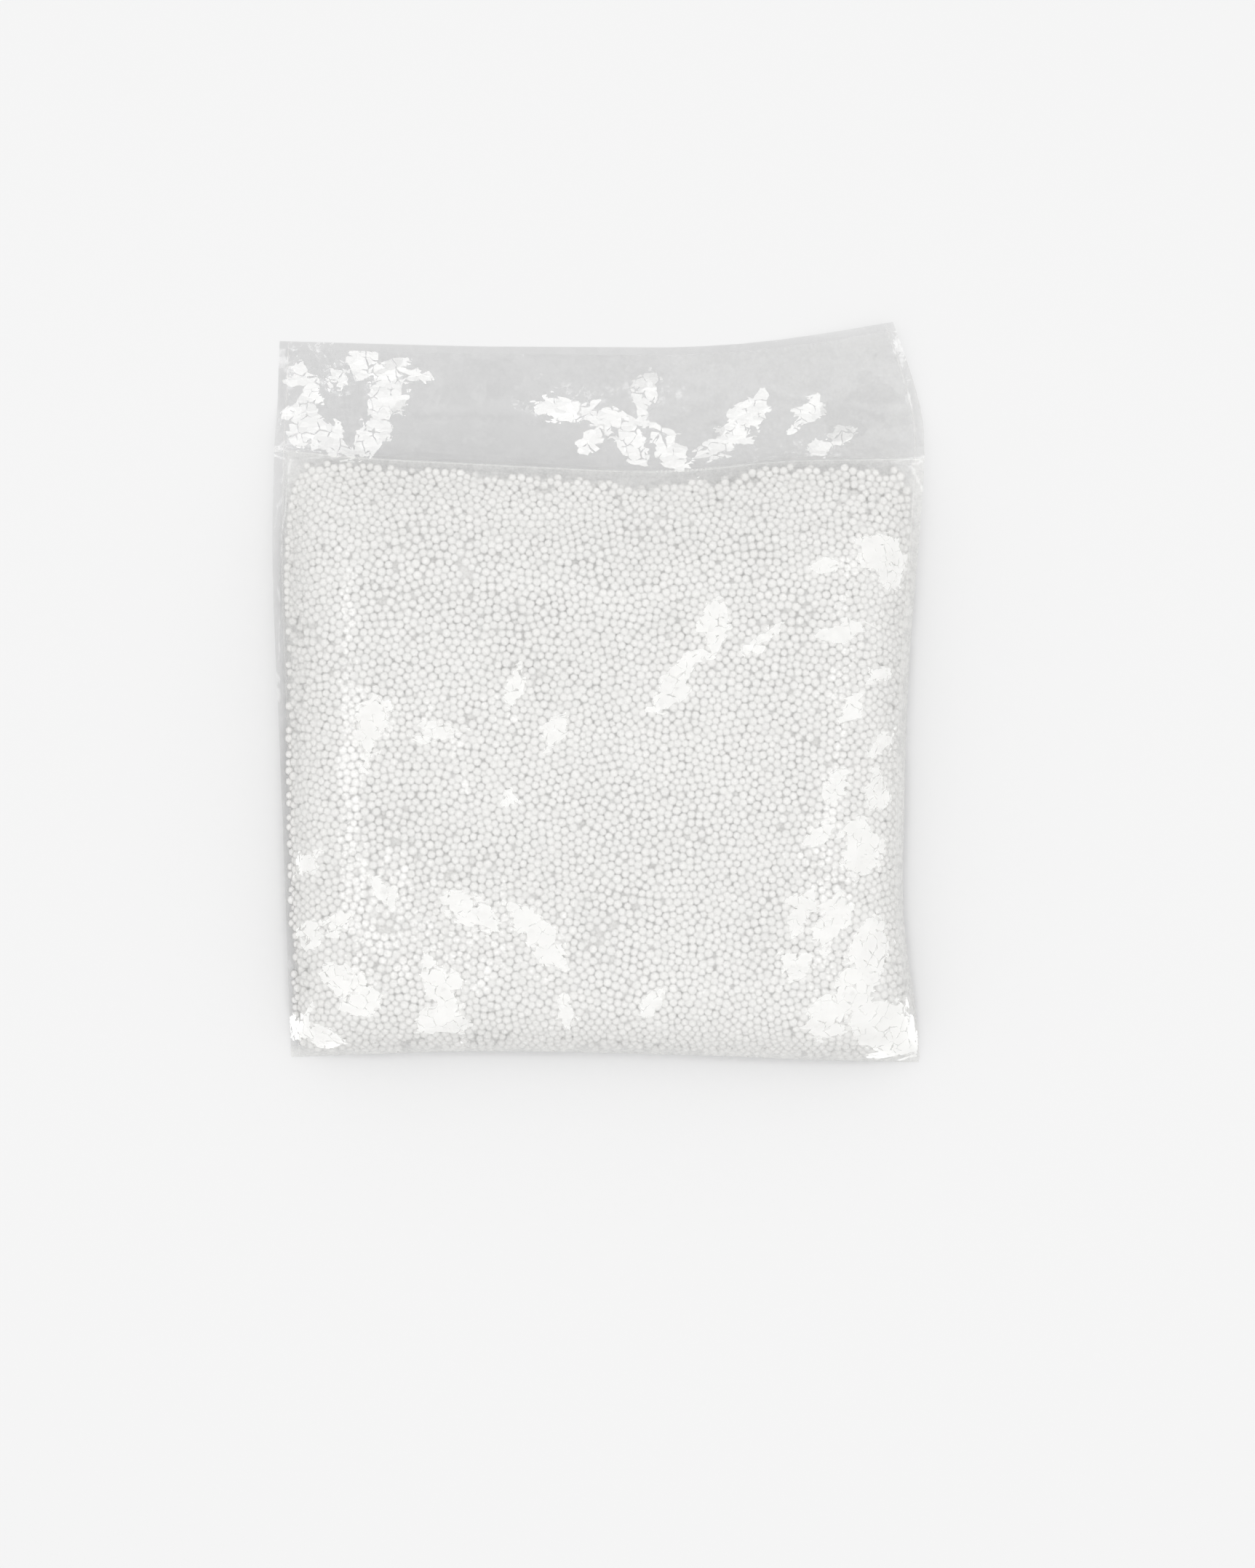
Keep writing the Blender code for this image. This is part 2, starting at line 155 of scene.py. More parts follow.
camera = bpy.data.objects.new("camera", bpy.data.cameras.new("camera"))
camera.data.sensor_fit = "VERTICAL"
camera.data.sensor_height = SENSOR_HEIGHT * 1000
camera.data.lens = SENSOR_HEIGHT * 1000 * CAMERA_HEIGHT / FRAME_HEIGHT
camera.data.clip_start = 0.01
camera.location = (*FRAME_CENTRE, CAMERA_HEIGHT)
scene.collection.objects.link(camera)
scene.camera = camera

for name, (size, mirrored_at) in SOFT_BOXES.items():
    box = bpy.data.objects.new(name, bpy.data.lights.new(name, "AREA"))
    throw = 1 + (BOX_HEIGHT - FILM_HEIGHT) / (CAMERA_HEIGHT - FILM_HEIGHT)
    over = [middle + (shown - middle) * throw for middle, shown in zip(FRAME_CENTRE, mirrored_at)]
    box.location = (*over, BOX_HEIGHT)
    box.rotation_euler = (-box.location).to_track_quat("-Z", "Y").to_euler()
    box.data.size = size
    box.data.energy = BOX_RADIANCE * math.pi * size**2
    scene.collection.objects.link(box)

# The room is white all round, and a little lighter overhead. What looks straight at it, or shows it in
# the film, has the photograph's background.
world = bpy.data.worlds.new("white_room")
scene.world = world
world.use_nodes = True
room = world.node_tree
room.nodes.clear()
ray = add_node(room, "ShaderNodeLightPath").outputs
seen = math_node(room, "MAXIMUM", ray["Is Camera Ray"], ray["Is Glossy Ray"])
seen = math_node(room, "MAXIMUM", seen, ray["Is Transmission Ray"])
way = add_node(room, "ShaderNodeTexCoord").outputs["Generated"]
upward = add_node(room, "ShaderNodeSeparateXYZ", {0: way}).outputs["Z"]
upward = math_node(room, "POWER", math_node(room, "MAXIMUM", upward, 0.0), CEILING_GATHER)
level = math_node(room, "MULTIPLY_ADD", upward, CEILING_LEVEL, WALL_LEVEL)
glow = add_node(room, "ShaderNodeBackground", {"Color": (1, 1, 1, 1), "Strength": level})
patches = {"Vector": way, "Scale": CEILING_PATCHES, "Detail": 1.0}
patches = add_node(room, "ShaderNodeTexNoise", patches).outputs["Fac"]
mirrored = {0: ray["Is Glossy Ray"], 2: 1.0, 3: span_node(room, patches, NOISE_SPAN, CEILING_SHADES)}
mirrored = add_node(room, "ShaderNodeMix", mirrored, data_type="FLOAT").outputs[0]
backdrop = {"Color": linear(BACKGROUND_COLOUR), "Strength": mirrored}
backdrop = add_node(room, "ShaderNodeBackground", backdrop)
add_node(room, "ShaderNodeOutputWorld", {0: mixed_node(room, seen, glow.outputs[0], backdrop.outputs[0])})

bpy.ops.object.select_all(action="DESELECT")
bpy.ops.mesh.primitive_plane_add(size=TABLE_SIZE, location=(0, 0, -TABLE_CLEARANCE))
table = bpy.context.object
table.name = "table_top"
matt_white, tree, output = new_material("matt_white_table")
paint = add_node(tree, "ShaderNodeBsdfDiffuse", {"Color": linear(TABLE_COLOUR)})
tree.links.new(paint.outputs[0], output.inputs["Surface"])
table.data.materials.append(matt_white)
table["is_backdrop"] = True

# The film bag
# A length of clear polythene film, folded along the bottom and welded down both sides, with a heat seal
# across it below the open header. The pouch is drawn tight over the beads, and the header is limp and
# crumpled. The front lip of the mouth ends short of the back one.

FRONT_COLUMNS = 228
BACK_COLUMNS = 114
POUCH_ROWS = 214
HEADER_ROWS = 48
LIP_STEP = 0.003
# The seal line's height above the middle, at shares of the way across, and over how many columns to each
# side it is smoothed
SEAL_LINE = [
    (0.0, 0.0932), (0.12, 0.0898), (0.32, 0.0873), (0.55, 0.0843), (0.65, 0.0848), (0.77, 0.0886),
    (1.0, 0.0895),
]
SEAL_SMOOTHING = 12
# The grid is finest at the seal: this many rows to each side of it, and their pitch
SEAL_ROWS = 5
SEAL_PITCH = 0.0005
SLICES = 160
EDGE_PASSES = 8
EASING_PASSES = 40
# The rays that find the film start this far inside its outline, at its half width and half length, and
# well below or above the bag. One that misses takes the film nearest to the seams' level.
INSIDE_EDGE = 0.0003
HALF_WIDTH, HALF_LENGTH = 0.125, 0.14
FAR_BELOW, FAR_ABOVE = -0.1, 0.2
SEAM_LEVEL = 0.004

film_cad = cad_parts["bag_film"]
heap_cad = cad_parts["bead_heap"]


def mesh_arrays(mesh):
    """A mesh's points and edges as arrays."""
    points = np.empty(len(mesh.vertices) * 3)
    mesh.vertices.foreach_get("co", points)
    edges = np.empty(len(mesh.edges) * 2, int)
    mesh.edges.foreach_get("vertices", edges)
    return points.reshape(-1, 3), edges.reshape(-1, 2)


def surface_of(mesh):
    """A mesh's faces, for casting rays at."""
    return BVHTree.FromPolygons([v.co for v in mesh.vertices], [p.vertices for p in mesh.polygons])


def reach_across(points, edges, along, places):
    """The least and greatest x (or y) of a mesh where planes at these y (or x) cut it."""
    a, b = points[edges[:, 0]], points[edges[:, 1]]
    across, reach = 1 - along, []
    for place in places:
        cut = (a[:, along] - place) * (b[:, along] - place) <= 0
        span = b[cut, along] - a[cut, along]
        t = np.divide(place - a[cut, along], span, out=np.zeros(cut.sum()), where=span != 0)
        found = a[cut, across] + t * (b[cut, across] - a[cut, across])
        reach.append((found.min(), found.max()))
    return np.array(reach).T


film_points, film_edges = mesh_arrays(film_cad.data)
bottom_left, bottom_right, top_right, top_left = (
    film_points[np.argmax(film_points[:, 0] * to_right + film_points[:, 1] * to_top)]
    for to_right, to_top in ((-1, -1), (1, -1), (1, 1), (-1, 1))
)
left_y = np.linspace(bottom_left[1], top_left[1], SLICES)
right_y = np.linspace(bottom_right[1], top_right[1], SLICES)
bottom_x = np.linspace(bottom_left[0], bottom_right[0], SLICES)
top_x = np.linspace(top_left[0], top_right[0], SLICES)
left_x = reach_across(film_points, film_edges, 1, left_y)[0]
right_x = reach_across(film_points, film_edges, 1, right_y)[1]
bottom_y = reach_across(film_points, film_edges, 0, bottom_x)[0]
top_y = reach_across(film_points, film_edges, 0, top_x)[1]


def across_at(u, y):
    """The x at a share of the way across the bag, at this height up it."""
    left, right = np.interp(y, left_y, left_x), np.interp(y, right_y, right_x)
    return left + u * (right - left)


def sheet_grid(columns, rows_in_pouch, rows_in_header, lip):
    """A wall's grid, which follows the bottom fold, the seal line and the lip: x, y and shares across."""
    u = np.linspace(0, 1, columns + 1)
    bottom, top = np.full(columns + 1, bottom_y.mean()), np.full(columns + 1, top_y.mean())
    for _ in range(EDGE_PASSES):
        bottom = np.interp(across_at(u, bottom), bottom_x, bottom_y)
        top = np.interp(across_at(u, top), top_x, top_y)
    seal = np.interp(u, *np.array(SEAL_LINE).T)
    taken = 2 * SEAL_SMOOTHING + 1
    seal = np.convolve(np.pad(seal, SEAL_SMOOTHING, mode="edge"), np.ones(taken) / taken, mode="valid")
    close = np.arange(SEAL_ROWS, 0, -1)[:, None] * SEAL_PITCH
    below, above = seal - close[0], seal + close[0]
    pouch = bottom + np.linspace(0, 1, rows_in_pouch - SEAL_ROWS + 1)[:-1, None] * (below - bottom)
    header = above + np.linspace(0, 1, rows_in_header - SEAL_ROWS + 1)[1:, None] * (top - lip - above)
    y = np.vstack([pouch, seal - close, seal, seal + close[::-1], header])
    return across_at(u, y), y, u


def wall_heights(surface, x, y, up):
    """The height at which rays straight up or down meet the part's film, kept just inside its outline."""
    heights = np.empty(x.shape)
    inside_x, inside_y = x * (1 - INSIDE_EDGE / HALF_WIDTH), y * (1 - INSIDE_EDGE / HALF_LENGTH)
    for k in np.ndindex(x.shape):
        start = Vector((inside_x[k], inside_y[k], FAR_BELOW if up else FAR_ABOVE))
        hit = surface.ray_cast(start, Vector((0, 0, 1 if up else -1)))[0]
        if not hit:
            hit = surface.find_nearest(Vector((inside_x[k], inside_y[k], SEAM_LEVEL)))[0]
        heights[k] = hit.z
    return heights


def eased(heights, seal_row, passes):
    """The heights with the part's facets smoothed away, but for the edges and the seal line."""
    for _ in range(passes):
        soft = heights.copy()
        soft[1:-1, 1:-1] = (
            heights[1:-1, 1:-1] / 2
            + (heights[:-2, 1:-1] + heights[2:, 1:-1] + heights[1:-1, :-2] + heights[1:-1, 2:]) / 8
        )
        soft[seal_row] = heights[seal_row]
        heights = soft
    return heights


film_surface = surface_of(film_cad.data)
front_x, front_y, front_u = sheet_grid(FRONT_COLUMNS, POUCH_ROWS, HEADER_ROWS, LIP_STEP)
back_x, back_y, back_u = sheet_grid(BACK_COLUMNS, POUCH_ROWS // 2, HEADER_ROWS // 2, 0.0)
front_z = eased(wall_heights(film_surface, front_x, front_y, False), POUCH_ROWS, EASING_PASSES)
back_z = eased(wall_heights(film_surface, back_x, back_y, True), POUCH_ROWS // 2, EASING_PASSES // 2)


def sheet(name, x, y, z, facing_up):
    """A sheet of quads on this grid, added as a flat grid whose points are then moved."""
    rows, columns = x.shape
    bpy.ops.object.select_all(action="DESELECT")
    bpy.ops.mesh.primitive_grid_add(x_subdivisions=columns - 1, y_subdivisions=rows - 1, size=1)
    made = bpy.context.object
    made.name = made.data.name = name
    made.data.vertices.foreach_set("co", np.stack([x, y, z], -1).ravel())
    if not facing_up:
        bpy.ops.object.mode_set(mode="EDIT")
        bpy.ops.mesh.select_all(action="SELECT")
        bpy.ops.mesh.flip_normals()
        bpy.ops.object.mode_set(mode="OBJECT")
    made.data.shade_smooth()
    made.data.update()
    return made


film_front = sheet("film_front", front_x, front_y, front_z, True)
film_back = sheet("film_back", back_x, back_y, back_z, False)
front_surface = surface_of(film_front.data)
back_surface = surface_of(film_back.data)

# The film buckles into flat facets that meet in straight ridges. Each kind is a facet's width, length and
# height. They only rise, so that the beads stay clear of them.
HEADER_CREASES = [(0.021, 0.021, 0.0022), (0.0085, 0.0085, 0.0010), (0.0036, 0.0036, 0.00036)]
POUCH_CREASES = [(0.019, 0.019, 0.0016), (0.0080, 0.0080, 0.0010), (0.0036, 0.0036, 0.0004)]
# Gathers run in from the side welds, and along the bottom fold
SIDE_GATHERS = [(0.011, 0.0040, 0.0007), (0.005, 0.0026, 0.0003)]
BOTTOM_GATHERS = [(0.014, 0.0022, 0.0006)]
SIDE_REACH, BOTTOM_REACH = 0.017, 0.009
# How far the facets reach from the bag's middle, and how far their corners stray, in facets
FACETS_TO_X, FACETS_TO_Y = 0.15, 0.17
FACET_STRAY = 0.45
SAME_POINT = 1e-7
# Where the film is restless: middle x and y, reach x and y, and how much
HEADER_UNREST = [
    (-0.105, 0.108, 0.022, 0.030, 1.0), (-0.080, 0.120, 0.020, 0.022, 0.8),
    (0.003, 0.112, 0.036, 0.018, 1.0), (0.052, 0.100, 0.022, 0.020, 0.9),
    (0.085, 0.098, 0.022, 0.016, 0.9), (0.110, 0.090, 0.015, 0.008, 0.6),
]
POUCH_UNREST = [
    (0.098, -0.090, 0.030, 0.050, 1.0), (0.100, -0.005, 0.024, 0.040, 0.65),
    (0.106, 0.052, 0.020, 0.018, 0.7), (0.024, 0.022, 0.022, 0.026, 0.35),
    (0.062, 0.028, 0.020, 0.014, 0.45), (-0.085, -0.014, 0.024, 0.022, 0.6),
    (-0.100, -0.120, 0.030, 0.026, 1.0), (-0.105, -0.065, 0.020, 0.036, 0.7),
    (-0.060, -0.100, 0.026, 0.040, 0.8), (-0.030, -0.090, 0.024, 0.030, 0.7),
    (-0.020, -0.006, 0.026, 0.018, 0.4), (0.010, -0.125, 0.030, 0.012, 0.4),
    (-0.100, 0.020, 0.014, 0.060, 0.8), (0.104, 0.010, 0.014, 0.060, 0.7),
]
CALM_HEADER, CALM_POUCH = 0.30, 0.13


def facets(across, along, height, seed):
    """A crumpled sheet: scattered points at random heights, joined by flat triangles."""
    chance = np.random.default_rng(seed)
    x, y = np.arange(-FACETS_TO_X, FACETS_TO_X, across), np.arange(-FACETS_TO_Y, FACETS_TO_Y, along)
    x, y = np.meshgrid(x, y)
    stray = chance.uniform(-FACET_STRAY, FACET_STRAY, (x.size, 2)) * (across, along)
    points = [Vector(point) for point in np.stack([x.ravel(), y.ravel()], -1) + stray]
    flat, _, faces, *_ = geometry.delaunay_2d_cdt(points, [], [], 0, SAME_POINT)
    heights = chance.uniform(0, height, len(flat))
    return BVHTree.FromPolygons([Vector((p.x, p.y, h)) for p, h in zip(flat, heights)], faces)


def crumple(x, y, kinds, seed):
    """The height of the crumples at each point of a grid."""
    total, down = np.zeros(x.shape), Vector((0, 0, -1))
    for k, kind in enumerate(kinds):
        surface = facets(*kind, seed + k)
        for at in np.ndindex(x.shape):
            hit = surface.ray_cast(Vector((x[at], y[at], 1.0)), down)[0]
            total[at] += hit.z if hit else 0.0
    return total


def unrest(x, y, zones, calm):
    """How restless the film is at each point: calm, and up to 1 in the middle of a zone."""
    total = np.full(x.shape, calm)
    for middle_x, middle_y, reach_x, reach_y, strength in zones:
        oval = np.exp(-(((x - middle_x) / reach_x) ** 2 + ((y - middle_y) / reach_y) ** 2))
        total = np.maximum(total, strength * oval)
    return total


# The creases that shine: middle x and y, length, width and heading, in mm and degrees, and the soft box
# that each leans towards
SHINING = [
    (-113, 106, 31, 14, 80, 2), (-104, 99, 28, 12, -38, 2), (-92, 127, 16, 10, 70, 2),
    (-79, 123, 28, 9, -10, 2), (-82, 115, 28, 15, 62, 2), (-86, 100, 24, 10, 66, 2),
    (-116, 124, 9, 5, 60, 2), (-101, 120, 9, 5, -50, 2), (-15, 110, 27, 10, -14, 2),
    (3, 105, 26, 10, -24, 3), (19, 116, 22, 8, 84, 3), (13, 98, 24, 10, -58, 3),
    (28, 93, 22, 9, -50, 3), (-2, 97, 14, 6, 60, 2), (54, 102, 34, 11, 50, 3), (61, 111, 16, 7, 70, 3),
    (41, 91, 14, 7, 20, 3), (80, 107, 20, 8, 52, 3), (94, 101, 13, 6, 42, 3), (84, 93, 8, 5, 30, 3),
    (44, 24, 27, 11, 84, 1), (30, 4, 29, 9, 50, 1), (62, 19, 16, 6, 45, 1), (92, 23, 21, 6, 6, 3),
    (107, 53, 23, 15, -30, 3), (112, 44, 12, 8, -60, 3), (85, 46, 10, 4, 10, 3),
    (-86, -13, 28, 11, 86, 0), (-60, -16, 21, 7, 2, 0), (-31, 2, 17, 6, 80, 0),
    (-16, -15, 14, 7, 60, 0), (-34, -42, 10, 6, 70, 0), (-47, -85, 27, 10, -34, 0),
    (-23, -92, 36, 11, -50, 1), (-58, -115, 39, 10, -65, 0), (-63, -124, 18, 12, 40, 0),
    (-12, -122, 18, 8, -75, 0), (20, -119, 14, 9, 60, 1), (-96, -110, 19, 9, -30, 0),
    (-88, -118, 17, 9, 10, 0), (-114, -128, 16, 9, 60, 0), (-104, -131, 14, 8, -20, 0),
    (-82, -77, 15, 8, -55, 0), (-110, -66, 14, 7, 40, 0), (-110, -92, 14, 7, 80, 0),
    (-98, -88, 14, 6, 30, 0), (99, -60, 26, 16, 80, 1), (76, -84, 22, 9, 70, 1),
    (89, -87, 26, 12, 75, 1), (104, -100, 34, 15, 80, 1), (76, -105, 14, 12, 60, 1),
    (87, -123, 20, 14, 20, 1), (109, -127, 34, 22, -40, 1), (97, -112, 24, 14, 50, 1),
    (108, -20, 14, 7, 40, 1), (96, -8, 14, 6, 50, 1), (106, 6, 12, 5, 30, 1), (90, -34, 14, 6, 60, 1),
    (104, -38, 16, 8, 75, 1), (84, -56, 16, 6, 55, 1),
]
# Their outlines wander: the width, length and height of the crumples that they wander by
OUTLINE_WANDER = [(0.0075, 0.0075, 0.0044), (0.0030, 0.0030, 0.0016)]
# How bluntly they narrow towards their ends
CREASE_TAPER = 1.6
FAR_OUTSIDE = 0.006
# How strongly they shine
GLEAM_HEADER, GLEAM_POUCH = 0.85, 0.5
# The creases fade out towards the seal, the sides, the bottom fold and the lip
FADE_TO_SEAL_HEADER, FADE_TO_SEAL_POUCH = 0.003, 0.006
FADE_TO_SIDE, FADE_TO_BOTTOM, FADE_TO_LIP = 0.003, 0.002, 0.012
# The seal is a ridge: its height, its half width in rows, and how far from the sides it has its full height
SEAL_RIDGE = 0.00035
RIDGE_ROWS = 2.4
RIDGE_FROM_SIDE = 0.006


def shining_field(x, y, z):
    """How far inside a shining crease's outline each point lies, and the way that crease faces."""
    astray_x, astray_y = (crumple(x, y, OUTLINE_WANDER, seed) for seed in (71, 83))
    half = sum(reach for _, _, reach in OUTLINE_WANDER) / 2
    astray_x, astray_y = x + astray_x - half, y + astray_y - half
    lamps = [bpy.data.objects[name].location for name in SOFT_BOXES]
    inside, facing = np.full(x.shape, -FAR_OUTSIDE), np.zeros((*x.shape, 3))
    facing[..., 2] = 1.0
    for middle_x, middle_y, length, width, heading, lamp in SHINING:
        cx, cy, turn = middle_x / 1000, middle_y / 1000, math.radians(heading)
        along = (astray_x - cx) * math.cos(turn) + (astray_y - cy) * math.sin(turn)
        across = (astray_y - cy) * math.cos(turn) - (astray_x - cx) * math.sin(turn)
        centre = np.unravel_index(np.argmin(np.hypot(x - cx, y - cy)), x.shape)
        place = Vector((cx, cy, z[centre]))
        halfway = (camera.location - place).normalized() + (lamps[lamp] - place).normalized()
        here = width / 2000 * (1 - np.abs(2 * along / (length / 1000)) ** CREASE_TAPER) - np.abs(across)
        facing[here > inside] = halfway.normalized()
        inside = np.maximum(inside, here)
    return inside, facing


def creased(x, y, z, u, rows_in_pouch, seed):
    """The wall with the seal's ridge and its creases, strong in the restless zones and none at the edges."""
    header = crumple(x, y, HEADER_CREASES, seed) * unrest(x, y, HEADER_UNREST, CALM_HEADER)
    pouch = crumple(x, y, POUCH_CREASES, seed + 10) * unrest(x, y, POUCH_UNREST, CALM_POUCH)
    sides, to_seal = np.minimum(u, 1 - u)[None, :] * BAG_WIDTH, np.abs(y - y[rows_in_pouch])
    pouch += crumple(x, y, SIDE_GATHERS, seed + 20) * np.clip(1 - sides / SIDE_REACH, 0, 1)
    pouch += crumple(x, y, BOTTOM_GATHERS, seed + 30) * np.clip(1 - (y - y[0]) / BOTTOM_REACH, 0, 1)
    in_header = np.arange(len(y))[:, None] > rows_in_pouch
    fade = np.clip(to_seal / np.where(in_header, FADE_TO_SEAL_HEADER, FADE_TO_SEAL_POUCH), 0, 1)
    fade *= np.clip(sides / FADE_TO_SIDE, 0, 1)
    fade *= np.clip((y - y[0]) / FADE_TO_BOTTOM, 0, 1) * np.clip((y[-1] - y) / FADE_TO_LIP, 0, 1)
    ridge = SEAL_RIDGE * np.clip(RIDGE_ROWS - to_seal / SEAL_PITCH, 0, 1)
    ridge = ridge * np.clip(sides / RIDGE_FROM_SIDE, 0, 1)
    return z + np.where(in_header, header, pouch) * fade + ridge


BAG_WIDTH = cad_high.x - cad_low.x
front_z = creased(front_x, front_y, front_z, front_u, POUCH_ROWS, seed=11)
back_z = creased(back_x, back_y, back_z, back_u, POUCH_ROWS // 2, seed=31)

# Fine crazing clouds the film over the beads, more along the right weld and the bottom fold. The film is
# also a little whiter towards the right of the header. In the lower right corner, where the film mirrors the
# right low soft box, its white is a painted highlight.
HAZE_POUCH, HAZE_RIGHT, HAZE_BOTTOM, HAZE_HEADER, CORNER_PAINTED_HIGHLIGHT = 0.62, 0.78, 0.80, 0.20, 0.75
# The strip along the left weld is clear, and the haze comes in over as much again
CLEAR_STRIP = 0.003
# Its share close under the seal, and where below the seal it starts and how far it takes to grow
HAZE_UNDER_SEAL = 0.7
SEAL_SHADOW, SEAL_SHADOW_FADE = 0.002, 0.005
# How far it reaches in from the right weld and the bottom fold, and over how much it ends
RIGHT_REACH, RIGHT_FADE = 0.008, 0.005
FOLD_REACH, FOLD_FADE = 0.0056, 0.004
# Where the lower right corner's painted highlight lies, and how far it reaches
CORNER_AT, CORNER_REACH = (0.106, -0.122), (0.030, 0.034)
HEADER_HAZE_FROM, HEADER_HAZE_REACH = -0.03, 0.12


def clouded(x, y, u, rows_in_pouch):
    """How much crazing clouds the film at each point, with the lower right corner painted white as a painted
    highlight.
    """
    from_right = (1 - u)[None, :] * BAG_WIDTH + 0 * x
    from_bottom = y - y[0]
    over_beads = np.clip((u[None, :] * BAG_WIDTH - CLEAR_STRIP) / CLEAR_STRIP, 0, 1)
    under_seal = np.clip((y[rows_in_pouch] - y - SEAL_SHADOW) / SEAL_SHADOW_FADE, 0, 1)
    over_beads = over_beads * (HAZE_UNDER_SEAL + (1 - HAZE_UNDER_SEAL) * under_seal)
    at_right = np.clip((RIGHT_REACH - from_right) / RIGHT_FADE, 0, 1)
    at_bottom = np.clip((FOLD_REACH - from_bottom) / FOLD_FADE, 0, 1)
    from_corner = ((x - CORNER_AT[0]) / CORNER_REACH[0]) ** 2 + ((y - CORNER_AT[1]) / CORNER_REACH[1]) ** 2
    haze_and_painted_highlight = np.maximum(HAZE_POUCH * over_beads, HAZE_RIGHT * at_right)
    haze_and_painted_highlight = np.maximum(haze_and_painted_highlight, HAZE_BOTTOM * at_bottom)
    haze_and_painted_highlight = np.maximum(haze_and_painted_highlight, CORNER_PAINTED_HIGHLIGHT * np.exp(-from_corner))
    in_header = np.arange(len(y))[:, None] > rows_in_pouch
    return np.where(in_header, HAZE_HEADER * np.clip((x - HEADER_HAZE_FROM) / HEADER_HAZE_REACH, 0, 1), haze_and_painted_highlight)


def set_attribute(mesh, name, kind, values):
    """Write one value, or one vector, for each of a mesh's points."""
    layer = mesh.attributes.new(name, kind, "POINT").data
    layer.foreach_set("value" if kind == "FLOAT" else "vector", np.ascontiguousarray(values, float).ravel())


for wall, x, y, z, u, rows_in_pouch, shining in (
    (film_front, front_x, front_y, front_z, front_u, POUCH_ROWS, True),
    (film_back, back_x, back_y, back_z, back_u, POUCH_ROWS // 2, False),
):
    wall.data.vertices.foreach_set("co", np.stack([x, y, z], -1).ravel())
    in_header = np.arange(len(y))[:, None] > rows_in_pouch
    restless = unrest(x, y, POUCH_UNREST, CALM_POUCH)
    restless = np.where(in_header, unrest(x, y, HEADER_UNREST, CALM_HEADER), restless)
    set_attribute(wall.data, "unrest", "FLOAT", restless)
    set_attribute(wall.data, "haze_and_painted_highlight", "FLOAT", clouded(x, y, u, rows_in_pouch) if shining else 0 * x)
    set_attribute(wall.data, "from_seal", "FLOAT", y - y[rows_in_pouch])
    set_attribute(wall.data, "from_side", "FLOAT", np.minimum(u, 1 - u)[None, :] * BAG_WIDTH + 0 * x)
    if shining:
        inside, facing = shining_field(x, y, z)
        set_attribute(wall.data, "inside", "FLOAT", inside)
        set_attribute(wall.data, "facing", "FLOAT_VECTOR", facing)
        set_attribute(wall.data, "gleam", "FLOAT", np.where(in_header, GLEAM_HEADER, GLEAM_POUCH) + 0 * x)
    wall.data.update()

# Clear polythene film: it dims what lies behind it a little, is clouded by crazing, and shines where it
# leans towards a light. Where it shines, white is painted into it as well, as a painted highlight.
FRONT_TINT = "#fefefe"
# The back wall's tint is greyer than the front's: painted shade, for the bag's own shade on it
BACK_TINT_AND_PAINTED_SHADE = "#f2f2f2"
CRAZED_WHITE = "#f2f2f0"
# How strongly calm film and its hard creases shine face on, and with what power the shine grows towards
# its steep parts
CALM_SHINE, FILM_SHINE = 0.032, 0.07
SHINE_POWER = 5.0
FILM_ROUGHNESS = 0.06
# The share of the light that gets through to what lies behind the film
LIGHT_PASSED = 0.97
# The share of the light on crazed film that comes out on its other side
CRAZING_THROUGH = 0.35
# The finest creases, too fine for the mesh: the size of a facet and how far it tips
CRACKLE = [(0.0060, 0.16), (0.0024, 0.16), (0.0010, 0.12)]
# A shining crease's outline is torn into shards: their size, and how far they stray over it
SHARDS = [(0.0042, 0.0038), (0.0017, 0.0020)]
SHARD_TURN, SHARD_STRETCH = math.radians(58), 0.42
OUTLINE_AT = -0.0004
# How much white is painted into a shining crease as a painted highlight on top of its shine, and how
# light its darkest and lightest facets are next to that, in shine and painted white alike
SHARD_PAINTED_HIGHLIGHT = 0.50
SHARD_LIGHTNESS = (0.7, 1.35)
# Cracks across it: the size of what lies between them, how far they wander, and their greatest share of
# that size, which comes and goes along them
CRACK_SPACING, CRACK_WANDER, CRACK_WIDTH = 0.0050, 0.0016, 0.055
WANDER_SIZE, WIDTH_SIZE = 1 / 420, 1 / 260
CRACKED_SPAN = (0.45, 0.65)
# The crazing's grain: its size, which of the noise's values it takes, and its least and most
GRAIN_SIZE, GRAIN_SPAN, GRAIN_LEVELS = 1 / 380, (0.35, 0.65), (0.75, 1.25)
# The thin lines of the side welds and of the seal: their place, half width and whiteness. Each is whole
# within a share of its half width, and fades out over the rest.
WELD_FROM_SIDE, WELD_HALF, WELD_HAZE = 0.0036, 0.00035, 0.16
SEAL_HALF, SEAL_HAZE = 0.00045, 0.22
LINE_CORE = 0.4
# The sealing bar's teeth pressed a row of dots here, painted white as a painted glint: from x to x, their
# pitch, their whiteness, and the height of the wave above which there is a dot
TOOTH_MARKS, TOOTH_PITCH, TOOTH_PAINTED_GLINT, TOOTH_EDGE = (0.0215, 0.0440), 0.0017, 0.75, 0.2


def named(tree, name, output="Fac"):
    """A value that is stored on a mesh's points."""
    return add_node(tree, "ShaderNodeAttribute", attribute_name=name).outputs[output]


def line_at(tree, distance, place, half):
    """1 on a line at this distance, and 0 beyond its half width."""
    off = math_node(tree, "ABSOLUTE", math_node(tree, "SUBTRACT", distance, place))
    return span_node(tree, off, (LINE_CORE * half, half), (1.0, 0.0))


